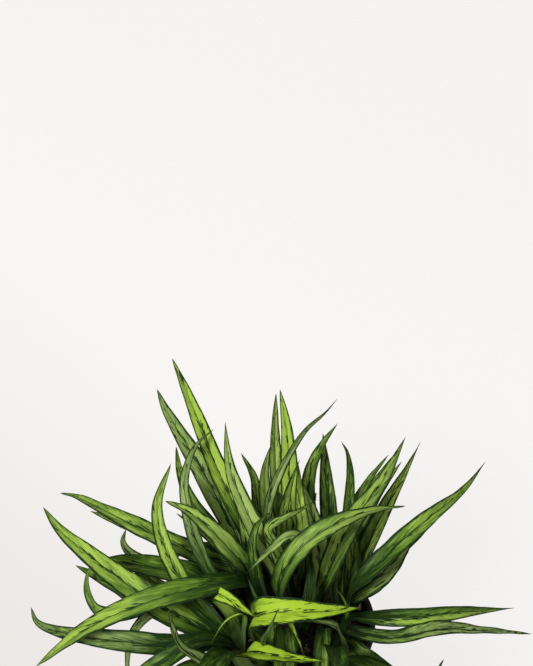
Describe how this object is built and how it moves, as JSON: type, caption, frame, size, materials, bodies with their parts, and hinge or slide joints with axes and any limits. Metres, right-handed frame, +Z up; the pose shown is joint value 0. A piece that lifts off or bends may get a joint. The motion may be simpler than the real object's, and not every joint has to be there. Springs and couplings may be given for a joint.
{
  "type": "potted chinese evergreen",
  "caption": "House plant in a round tapered nursery pot filled with potting mix: short canes carry arching, narrow, pointed leaves that are light green inside and dark green at the edges.",
  "frame": {"origin": "the middle of the pot's flat base, on the surface that it stands on", "axes": "+Z up along the pot's axis; -Y is the side that the picture was taken from, +X is to its right"},
  "size_m": [0.4726, 0.4559, 0.3014],
  "materials": {
    "pot": "moulded charcoal plastic, satin, slightly dusty",
    "potting_mix": "dark, crumbly bark and peat",
    "leaf": "satin leaf: yellow-green blade with dark margins, midrib and flecks"
  },
  "bodies": {
    "root": {"pot": "pot", "soil": "potting_mix", "stem_left": "leaf", "stem_centre": "leaf", "stem_right": "leaf", "stem_front_left": "leaf", "stem_front": "leaf", "stem_front_right": "leaf", "stem_back_left": "leaf", "stem_back": "leaf", "stem_back_right": "leaf"}
  },
  "joints": []
}
